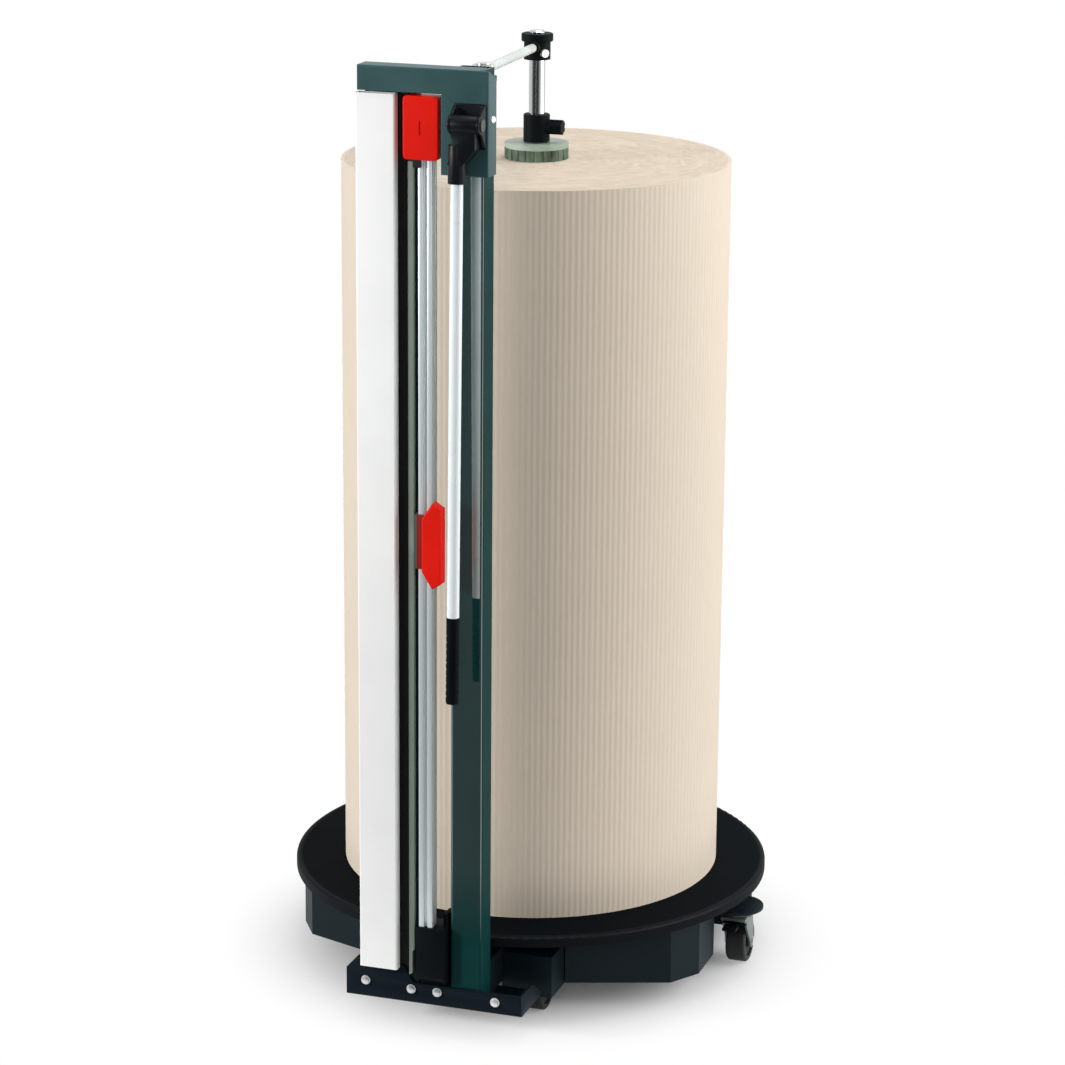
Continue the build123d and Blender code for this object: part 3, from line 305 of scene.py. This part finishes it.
for offset, wave_share in enumerate(flute_wave_shares):
    reach_share = 1 - flute_depth / roll_radius * (1 - wave_share)
    bpy.ops.object.mode_set(mode="EDIT")
    bpy.ops.mesh.select_all(action="DESELECT")
    bpy.ops.mesh.select_mode(type="VERT")
    bpy.ops.object.mode_set(mode="OBJECT")
    for vertex in roll.data.vertices:
        vertex.select = vertex.index % points_per_flute == offset
    bpy.ops.object.mode_set(mode="EDIT")
    bpy.ops.transform.resize(value=(reach_share, reach_share, 1), center_override=(0, 0, roll_foot))
bpy.ops.mesh.select_all(action="SELECT")
bpy.ops.mesh.extrude_region_move(TRANSFORM_OT_translate={"value": (0, 0, roll_head - roll_foot)})
draws = random.Random(turn_draw_seed)
ring_radius = roll_radius
ring_drop = 0.0
for ring in range(turn_rings):
    next_radius = roll_radius - (roll_radius - bore_radius) * (ring + 1) / turn_rings
    next_drop = draws.uniform(0, turn_recess) if ring < turn_rings - 1 else 0.0
    share = next_radius / ring_radius
    bpy.ops.mesh.extrude_region_move(TRANSFORM_OT_translate={"value": (0, 0, ring_drop - next_drop)})
    bpy.ops.transform.resize(value=(share, share, 1), center_override=(0, 0, roll_head))
    ring_radius = next_radius
    ring_drop = next_drop
bpy.ops.mesh.extrude_region_move(TRANSFORM_OT_translate={"value": (0, 0, roll_foot - roll_head)})
bpy.ops.mesh.select_all(action="DESELECT")
bpy.ops.mesh.select_mode(type="EDGE")
bpy.ops.mesh.select_non_manifold()
bpy.ops.mesh.bridge_edge_loops()
bpy.ops.mesh.select_all(action="SELECT")
bpy.ops.mesh.normals_make_consistent(inside=False)
bpy.ops.object.mode_set(mode="OBJECT")
bpy.ops.object.shade_smooth_by_angle(angle=flute_smooth_angle)


def board_paper():
    """Buff paper with fibres; on the roll's end, painted shade in the open flutes and creases shows the
    turns, their waves and creases as dim lines.
    """
    paper_rough = 0.82
    paper_shine = 0.2
    pale_buff = (0.745, 0.65, 0.535, 1)
    deep_buff = (0.69, 0.595, 0.485, 1)
    shaded_buff = (0.46, 0.37, 0.28, 1)
    buff_band = (0.25, 0.75)
    turn_pitch = 0.0042
    liner_share = 0.2
    wave_middle_share = 0.6
    wave_swing_share = 0.3
    wave_line_share = 0.16
    fibre_stretch = (1, 1, 0.18)
    fibre_fineness = 260.0
    fibre_detail = 8.0
    fibre_share = 0.6
    patch_fineness = 5.0
    patch_share = 0.4
    end_zone = 0.004
    crease_turns = 60.0
    crease_rays = 5.0
    crease_fineness = 1.0
    crease_detail = 4.0
    crease_bend = 1.2
    crease_band = (0.38, 0.62)
    painted_shade_share = 0.3
    fibre_height = 0.4
    crease_depth = 2.5
    relief_strength = 0.35
    relief_depth = 0.0008
    material = bpy.data.materials.new("board_paper")
    material.use_nodes = True
    tree = material.node_tree
    shader = tree.nodes["Principled BSDF"]
    shader.inputs["Roughness"].default_value = paper_rough
    shader.inputs["Specular IOR Level"].default_value = paper_shine
    place = tree.nodes.new("ShaderNodeTexCoord")
    axes = tree.nodes.new("ShaderNodeSeparateXYZ")
    tree.links.new(place.outputs["Object"], axes.inputs[0])

    def sum_of(operation, first, second=None):
        return reckon(tree, operation, first, second)

    angle = sum_of("ARCTAN2", axes.outputs["Y"], axes.outputs["X"])
    across = sum_of("POWER", axes.outputs["X"], 2.0)
    along = sum_of("POWER", axes.outputs["Y"], 2.0)
    reach = sum_of("SQRT", sum_of("ADD", across, along))
    turns = sum_of("SUBTRACT", sum_of("DIVIDE", reach, turn_pitch), sum_of("DIVIDE", angle, 2 * math.pi))
    in_turn = sum_of("FRACT", turns)
    liner = sum_of("LESS_THAN", in_turn, liner_share)
    waves = sum_of("SINE", sum_of("MULTIPLY", angle, float(flute_count)))
    wave_line = sum_of("ADD", sum_of("MULTIPLY", waves, wave_swing_share), wave_middle_share)
    from_wave = sum_of("ABSOLUTE", sum_of("SUBTRACT", in_turn, wave_line))
    medium = sum_of("LESS_THAN", from_wave, wave_line_share)
    paper = sum_of("MAXIMUM", liner, medium)

    fibre_scale = tree.nodes.new("ShaderNodeMapping")
    fibre_scale.inputs["Scale"].default_value = fibre_stretch
    tree.links.new(place.outputs["Object"], fibre_scale.inputs["Vector"])
    fibre = tree.nodes.new("ShaderNodeTexNoise")
    fibre.inputs["Scale"].default_value = fibre_fineness
    fibre.inputs["Detail"].default_value = fibre_detail
    tree.links.new(fibre_scale.outputs[0], fibre.inputs["Vector"])
    patches = tree.nodes.new("ShaderNodeTexNoise")
    patches.inputs["Scale"].default_value = patch_fineness
    tree.links.new(place.outputs["Object"], patches.inputs["Vector"])
    buff = tree.nodes.new("ShaderNodeValToRGB")
    buff.color_ramp.elements[0].position = buff_band[0]
    buff.color_ramp.elements[1].position = buff_band[1]
    buff.color_ramp.elements[0].color = deep_buff
    buff.color_ramp.elements[1].color = pale_buff
    fine = sum_of("MULTIPLY", fibre.outputs["Fac"], fibre_share)
    mixed = sum_of("ADD", fine, sum_of("MULTIPLY", patches.outputs["Fac"], patch_share))
    tree.links.new(mixed, buff.inputs["Fac"])

    on_end = sum_of("GREATER_THAN", axes.outputs["Z"], roll_head - end_zone)
    inside = sum_of("LESS_THAN", reach, roll_radius - end_zone)
    end_face = sum_of("MULTIPLY", on_end, inside)
    hollow = sum_of("MULTIPLY", end_face, sum_of("SUBTRACT", 1.0, paper))
    polar = tree.nodes.new("ShaderNodeCombineXYZ")
    tree.links.new(sum_of("MULTIPLY", reach, crease_turns), polar.inputs["X"])
    tree.links.new(sum_of("MULTIPLY", sum_of("SINE", angle), crease_rays), polar.inputs["Y"])
    tree.links.new(sum_of("MULTIPLY", sum_of("COSINE", angle), crease_rays), polar.inputs["Z"])
    crumple = tree.nodes.new("ShaderNodeTexNoise")
    crumple.inputs["Scale"].default_value = crease_fineness
    crumple.inputs["Detail"].default_value = crease_detail
    crumple.inputs["Distortion"].default_value = crease_bend
    tree.links.new(polar.outputs[0], crumple.inputs["Vector"])
    bent = tree.nodes.new("ShaderNodeMapRange")
    bent.inputs["From Min"].default_value = crease_band[0]
    bent.inputs["From Max"].default_value = crease_band[1]
    tree.links.new(crumple.outputs["Fac"], bent.inputs["Value"])
    crease = sum_of("MULTIPLY", end_face, bent.outputs[0])
    # Painted shade: on the end face, the open flutes between the paper and the creases are mixed towards a
    # shaded buff.
    shade = tree.nodes.new("ShaderNodeMix")
    shade.data_type = "RGBA"
    mix_share, plain_colour, shade_colour, mixed_colour = 0, 6, 7, 2
    shade.inputs[shade_colour].default_value = shaded_buff
    painted_shade = sum_of("ADD", sum_of("MULTIPLY", hollow, painted_shade_share), sum_of("MULTIPLY", crease, painted_shade_share))
    tree.links.new(painted_shade, shade.inputs[mix_share])
    tree.links.new(buff.outputs["Color"], shade.inputs[plain_colour])
    tree.links.new(shade.outputs[mixed_colour], shader.inputs["Base Color"])
    relief = tree.nodes.new("ShaderNodeBump")
    relief.inputs["Strength"].default_value = relief_strength
    relief.inputs["Distance"].default_value = relief_depth
    dip = sum_of("ADD", hollow, sum_of("MULTIPLY", crease, crease_depth))
    height = sum_of("SUBTRACT", sum_of("MULTIPLY", fibre.outputs["Fac"], fibre_height), dip)
    tree.links.new(height, relief.inputs["Height"])
    tree.links.new(relief.outputs[0], shader.inputs["Normal"])
    return material


roll.data.materials.append(board_paper())
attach(roll, "turntable")
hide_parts("corrugated_roll", "fluted_turn")
core_card = coloured_grain("core_card", (0.46, 0.36, 0.25), 0.85, spread=0.15, grain=300.0, depth=0.0004)
dress(core_card, "roll_core")

# Foot bracket. Thick folded plate, painted near black and bolted to the mast with bright hexagon bolts
# on washers.
bracket_edge = 0.0012
smooth_angle = math.radians(35)


def softened(name, body, material, edge_round):
    """A copy of a CAD node with its edges rounded over, which stands for the node."""
    weld_distance = 0.00001
    flat_angle = math.radians(1.5)
    edge_angle = math.radians(28)
    edge_segments = 2
    bpy.ops.object.select_all(action="DESELECT")
    piece = nodes[name].copy()
    piece.data = nodes[name].data.copy()
    piece.parent = None
    piece.matrix_world = Matrix.Identity(4)
    piece.name = name + "_finished"
    bpy.context.collection.objects.link(piece)
    bpy.context.view_layer.objects.active = piece
    piece.select_set(True)
    bpy.ops.object.mode_set(mode="EDIT")
    bpy.ops.mesh.select_all(action="SELECT")
    bpy.ops.mesh.customdata_custom_splitnormals_clear()
    bpy.ops.mesh.remove_doubles(threshold=weld_distance)
    bpy.ops.mesh.dissolve_limited(angle_limit=flat_angle)
    bpy.ops.object.mode_set(mode="OBJECT")
    rounding = piece.modifiers.new("rounded edges", "BEVEL")
    rounding.width = edge_round
    rounding.segments = edge_segments
    rounding.limit_method = "ANGLE"
    rounding.angle_limit = edge_angle
    rounding.use_clamp_overlap = True
    bpy.ops.object.modifier_apply(modifier=rounding.name)
    bpy.ops.object.shade_smooth_by_angle(angle=smooth_angle)
    piece.data.materials.clear()
    piece.data.materials.append(material)
    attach(piece, body)
    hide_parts(name)
    return piece


bracket_coat = coloured_grain("bracket_coat", (0.004, 0.0085, 0.0135), 0.45, shine=0.07)
softened("foot_bracket", "stand", bracket_coat, bracket_edge)

bolt_places = ((-0.1041, 0.067), (-0.0389, 0.063), (-0.002, 0.063), (0.0799, 0.06))
bolt_turns = (10, 37, 22, 51)
washer_sides = 36
washer_radius = 0.0065
washer_height = 0.0012
washer_round = washer_height / 4
washer_segments = 1
hexagon_sides = 6
hexagon_radius = 0.0056
hexagon_height = 0.0027
hexagon_round = 0.0007
hexagon_segments = 2
bracket_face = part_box("foot_bracket")[0].y


def bolt_piece(sides, radius, height, stand_off, edge_round, segments):
    """A disc with rounded edges, its axis along Y and its back a stand-off in front of the origin."""
    bpy.ops.object.select_all(action="DESELECT")
    bpy.ops.mesh.primitive_cylinder_add(
        vertices=sides, radius=radius, depth=height, end_fill_type="NGON",
        location=(0, -stand_off - height / 2, 0), rotation=(math.pi / 2, 0, 0),
    )
    piece = bpy.context.object
    bpy.ops.object.transform_apply(location=True, rotation=True, scale=True)
    bpy.ops.object.mode_set(mode="EDIT")
    bpy.ops.mesh.select_all(action="SELECT")
    bpy.ops.mesh.bevel(offset=edge_round, segments=segments, affect="EDGES")
    bpy.ops.object.mode_set(mode="OBJECT")
    return piece


hexagon = bolt_piece(
    hexagon_sides, hexagon_radius, hexagon_height, washer_height, hexagon_round, hexagon_segments
)
washer = bolt_piece(washer_sides, washer_radius, washer_height, 0, washer_round, washer_segments)
bolt_heads = []
for (bolt_x, bolt_z), bolt_turn in zip(bolt_places, bolt_turns):
    for model, model_turn in ((hexagon, math.radians(bolt_turn)), (washer, 0)):
        head = model.copy()
        head.data = model.data.copy()
        head.location = (bolt_x, bracket_face, bolt_z)
        head.rotation_euler = (0, model_turn, 0)
        bpy.context.collection.objects.link(head)
        bolt_heads.append(head)
for model in (hexagon, washer):
    bpy.data.objects.remove(model, do_unlink=True)
bpy.ops.object.select_all(action="DESELECT")
for head in bolt_heads:
    head.select_set(True)
bpy.context.view_layer.objects.active = bolt_heads[0]
bpy.ops.object.transform_apply(location=True, rotation=True, scale=True)
bpy.ops.object.join()
bolts = bpy.context.object
bolts.name = "bracket_bolt_heads"
bpy.ops.object.shade_smooth_by_angle(angle=smooth_angle)
bolts.data.materials.append(bright_steel)
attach(bolts, "stand")
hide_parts("bracket_bolts")

# Mast column and the arm that ties it to the base. Square steel tube with a dark teal enamel, polished on
# the front so that it mirrors the lever and satin on the sides; the arm has the base's coat.
polish_margin = 0.001
worn_foot_heights = (0.09, 0.2)
polish_rough = 0.04
polish_strength = 3.6
column_enamel = coloured_grain(
    "column_enamel", (0.003, 0.034, 0.033), 0.4, shine=0.05, grain=60.0, depth=0.00008
)
tree = column_enamel.node_tree
shader = tree.nodes["Principled BSDF"]
shader.inputs["Coat Roughness"].default_value = polish_rough
shader.inputs["Coat IOR"].default_value = polish_strength
column_low, column_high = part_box("mast_column")
place = tree.nodes.new("ShaderNodeTexCoord")
axes = tree.nodes.new("ShaderNodeSeparateXYZ")
worn_foot = tree.nodes.new("ShaderNodeMapRange")
worn_foot.inputs["From Min"].default_value = column_low.z + worn_foot_heights[0]
worn_foot.inputs["From Max"].default_value = column_low.z + worn_foot_heights[1]
tree.links.new(place.outputs["Object"], axes.inputs[0])
tree.links.new(axes.outputs["Z"], worn_foot.inputs["Value"])
column_middle = (column_low.x + column_high.x) / 2
polish_reach = (column_high.x - column_low.x) / 2 - polish_margin
to_side = reckon(tree, "ABSOLUTE", reckon(tree, "SUBTRACT", axes.outputs["X"], column_middle))
polished = reckon(tree, "LESS_THAN", to_side, polish_reach)
tree.links.new(reckon(tree, "MULTIPLY", polished, worn_foot.outputs[0]), shader.inputs["Coat Weight"])
dress(column_enamel, "mast_column")
dress(base_coat, "mast_arm")

# Header. A folded sheet cover over the top of the mast, painted grey-green like slate and held by a
# slotted screw in its right side.
header_edge = 0.0012
header_coat = coloured_grain("header_coat", (0.031, 0.083, 0.088), 0.45, shine=0.22)
softened("header_cover", "stand", header_coat, header_edge)


def slotted_screw(name, radius, height, slot_width, place, turns, material):
    """A domed screw head with a sawn slot; it is made at the origin and then set in place."""
    screw_sides = 32
    dome_share = 0.6
    dome_segments = 4
    least_upward = 0.9
    saw_reach = 3 * radius
    bpy.ops.object.select_all(action="DESELECT")
    bpy.ops.mesh.primitive_cylinder_add(
        vertices=screw_sides, radius=radius, depth=height, end_fill_type="NGON", location=(0, 0, height / 2)
    )
    screw = bpy.context.object
    screw.name = name
    bpy.ops.object.transform_apply(location=True, rotation=True, scale=True)
    bpy.ops.object.mode_set(mode="EDIT")
    bpy.ops.mesh.select_all(action="DESELECT")
    bpy.ops.mesh.select_mode(type="FACE")
    bpy.ops.object.mode_set(mode="OBJECT")
    for face in screw.data.polygons:
        face.select = face.normal.z > least_upward
    bpy.ops.object.mode_set(mode="EDIT")
    bpy.ops.mesh.bevel(offset=height * dome_share, segments=dome_segments, affect="EDGES")
    bpy.ops.object.mode_set(mode="OBJECT")
    bpy.ops.object.select_all(action="DESELECT")
    bpy.ops.mesh.primitive_cube_add(size=1, location=(0, 0, height))
    saw = bpy.context.object
    saw.scale = (slot_width, saw_reach, height)
    bpy.ops.object.transform_apply(location=True, rotation=True, scale=True)
    bpy.ops.object.select_all(action="DESELECT")
    screw.select_set(True)
    bpy.context.view_layer.objects.active = screw
    cut = screw.modifiers.new("slot", "BOOLEAN")
    cut.operation = "DIFFERENCE"
    cut.solver = "EXACT"
    cut.object = saw
    bpy.ops.object.modifier_apply(modifier=cut.name)
    bpy.data.objects.remove(saw, do_unlink=True)
    screw.rotation_euler = turns
    screw.location = place
    bpy.ops.object.transform_apply(location=True, rotation=True, scale=True)
    bpy.ops.object.shade_smooth_by_angle(angle=smooth_angle)
    screw.data.materials.clear()
    screw.data.materials.append(material)
    return screw


header_low, header_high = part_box("header_cover")
header_screw_drop = 0.062
header_screw_radius = 0.0045
header_screw_height = 0.0026
header_screw_slot = 0.0012
header_screw_turns = (math.radians(25), math.pi / 2, 0)
header_screw_place = (header_high.x, (header_low.y + header_high.y) / 2, header_high.z - header_screw_drop)
header_screw = slotted_screw(
    "header_screw", header_screw_radius, header_screw_height, header_screw_slot,
    header_screw_place, header_screw_turns, bright_steel,
)
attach(header_screw, "stand")

# Counter beam. A steel section behind the clamp bar with a glued rubber facing, and the grey moulded edge
# strip that the web is held against.
strip_edge = 0.0008
strip_rubber = coloured_grain("strip_rubber", (0.0085, 0.0105, 0.0095), 0.6, shine=0.2, grain=500.0)
edge_grey = coloured_grain("edge_strip_grey", (0.2, 0.24, 0.205), 0.4, spread=0.08)
dress(base_coat, "counter_beam")
dress(strip_rubber, "web_strip", "guard_bumper", "bar_pads")
softened("edge_strip", "stand", edge_grey, strip_edge)

# Guide rail. Extruded aluminium with marks drawn along its length, held under the header at the top and set
# in a black moulded foot at the bottom.
rail_edge = 0.0006
rail_foot_edge = 0.0015
rail_metal = coloured_grain(
    "rail_aluminium", (0.66, 0.71, 0.72), 0.34, metal=0.4, grain=300.0, stretch=(1, 1, 0.01)
)
softened("guide_rail", "stand", rail_metal, rail_edge)
softened("rail_foot", "stand", moulded_black, rail_foot_edge)

# Red guard and cutter. Glossy moulded plastic; the guard sits over the rail's top and has a key slot, and
# the cutter slides below it on a grey shoe.
guard_edge = 0.0012
cutter_edge = 0.0008
sleeve_step = 0.0065
shoe_width = 0.0045
signal_red = coloured_grain(
    "signal_red", (0.74, 0.012, 0.006), 0.35, shine=0.08, spread=0.06, grain=600.0, depth=0.0001
)
guard = softened("parking_guard", "stand", signal_red, guard_edge)
cutter = softened("cutter_carriage", "cutter", signal_red, cutter_edge)
# Painted shade: the cutter sleeve's set-back front gets a darker copy of the guard's red, which stands for
# the shade the grip casts on it.
sleeve_painted_shade_red = coloured_grain(
    "cutter_sleeve_painted_shade_red", (0.23, 0.011, 0.006), 0.4, shine=0.2, spread=0.06, grain=600.0
)
cutter.data.materials.append(sleeve_painted_shade_red)
sleeve_shade_finish = len(cutter.data.materials) - 1
shoe_grey = coloured_grain("cutter_shoe_grey", (0.06, 0.075, 0.07), 0.5, shine=0.2)
cutter.data.materials.append(shoe_grey)
shoe_finish = len(cutter.data.materials) - 1
sleeve_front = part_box("guide_rail")[0].y - sleeve_step
shoe_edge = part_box("cutter_carriage")[0].x + shoe_width
bpy.ops.object.mode_set(mode="EDIT")
bpy.ops.mesh.select_all(action="SELECT")
bpy.ops.mesh.bisect(plane_co=(shoe_edge, 0, 0), plane_no=(1, 0, 0))
bpy.ops.object.mode_set(mode="OBJECT")
# Faces set back behind the sleeve's front get the painted shade red. Left of the shoe's edge they get the
# shoe's grey.
for face in cutter.data.polygons:
    if face.center.y > sleeve_front:
        face.material_index = shoe_finish if face.center.x < shoe_edge else sleeve_shade_finish
dull_steel = coloured_grain("dull_steel", (0.06, 0.065, 0.065), 0.45, metal=0.5, spread=0.2)
dress(bright_steel, "cutter_blade", "bar_guide_pins")
dress(dull_steel, "draw_strap")
key_slot_width = 0.0036
key_slot_height = 0.017
key_slot_depth = 0.0012
guard_low, guard_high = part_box("parking_guard")
guard_middle = (guard_low + guard_high) / 2
bpy.ops.object.select_all(action="DESELECT")
bpy.ops.mesh.primitive_cube_add(size=1, location=(guard_middle.x, guard_low.y, guard_middle.z))
saw = bpy.context.object
saw.scale = (key_slot_width, 2 * key_slot_depth, key_slot_height)
bpy.ops.object.transform_apply(location=True, rotation=True, scale=True)
bpy.ops.object.select_all(action="DESELECT")
guard.select_set(True)
bpy.context.view_layer.objects.active = guard
cut = guard.modifiers.new("key slot", "BOOLEAN")
cut.operation = "DIFFERENCE"
cut.solver = "EXACT"
cut.object = saw
bpy.ops.object.modifier_apply(modifier=cut.name)
bpy.data.objects.remove(saw, do_unlink=True)

# Clamp bar. A flat hollow aluminium section with a white satin paint, as tall as the mast; it rides on two
# guide pins and a strap from the lever draws it against the counter beam.
bar_edge = 0.0008
bar_white = coloured_grain("bar_white", (0.92, 0.93, 0.92), 0.45, shine=0.3, spread=0.02, depth=0.0001)
softened("clamp_bar", "clamp_bar_body", bar_white, bar_edge)

# Lever. A black cast head on a steel pin between two ears of a bracket, a painted steel tube pressed into
# the head and a ribbed rubber grip pushed over the tube's end.
lever_head_edge = 0.0015
lever_bracket_edge = 0.0008
lever_white = coloured_grain("lever_white", (0.86, 0.92, 0.93), 0.28, spread=0.03, depth=0.0001)
head_black = coloured_grain("lever_head_black", (0.004, 0.0065, 0.008), 0.4, shine=0.14, grain=700.0)
softened("lever_head", "lever", head_black, lever_head_edge)
softened("lever_bracket", "stand", head_black, lever_bracket_edge)
dress(dull_steel, "lever_pin")
dress(lever_white, "lever_tube")
grip_rubber = coloured_grain("grip_rubber", (0.003, 0.005, 0.0065), 0.6, shine=0.04, grain=500.0)
dress(grip_rubber, "lever_grip")

# Hold-down. A pale steel arm on a hinge behind the column, a black clamp, a chrome rod, a hub with a knob
# and a plate over a ribbed rubber ring.
pale_steel = coloured_grain("pale_steel", (0.56, 0.61, 0.585), 0.42, metal=0.3)
plate_grey = coloured_grain("plate_grey", (0.3, 0.37, 0.31), 0.45, spread=0.2)
rod_chrome = coloured_grain("rod_chrome", (0.5, 0.51, 0.52), 0.1, metal=1.0, spread=0.04, depth=0.00002)
ring_rubber = coloured_grain(
    "ring_rubber", (0.06, 0.095, 0.06), 0.6, spread=0.85, grain=40.0, depth=0.0008, stretch=(6, 6, 3)
)
dress(pale_steel, "hold_down_arm")
dress(plate_grey, "press_plate")
dress(head_black, "arm_bracket")
dress(bright_steel, "arm_pin", "clamp_screw")
dress(rod_chrome, "hold_down_rod")
dress(moulded_black, "rod_clamp", "rod_hub", "hub_knob")
dress(ring_rubber, "press_ring")
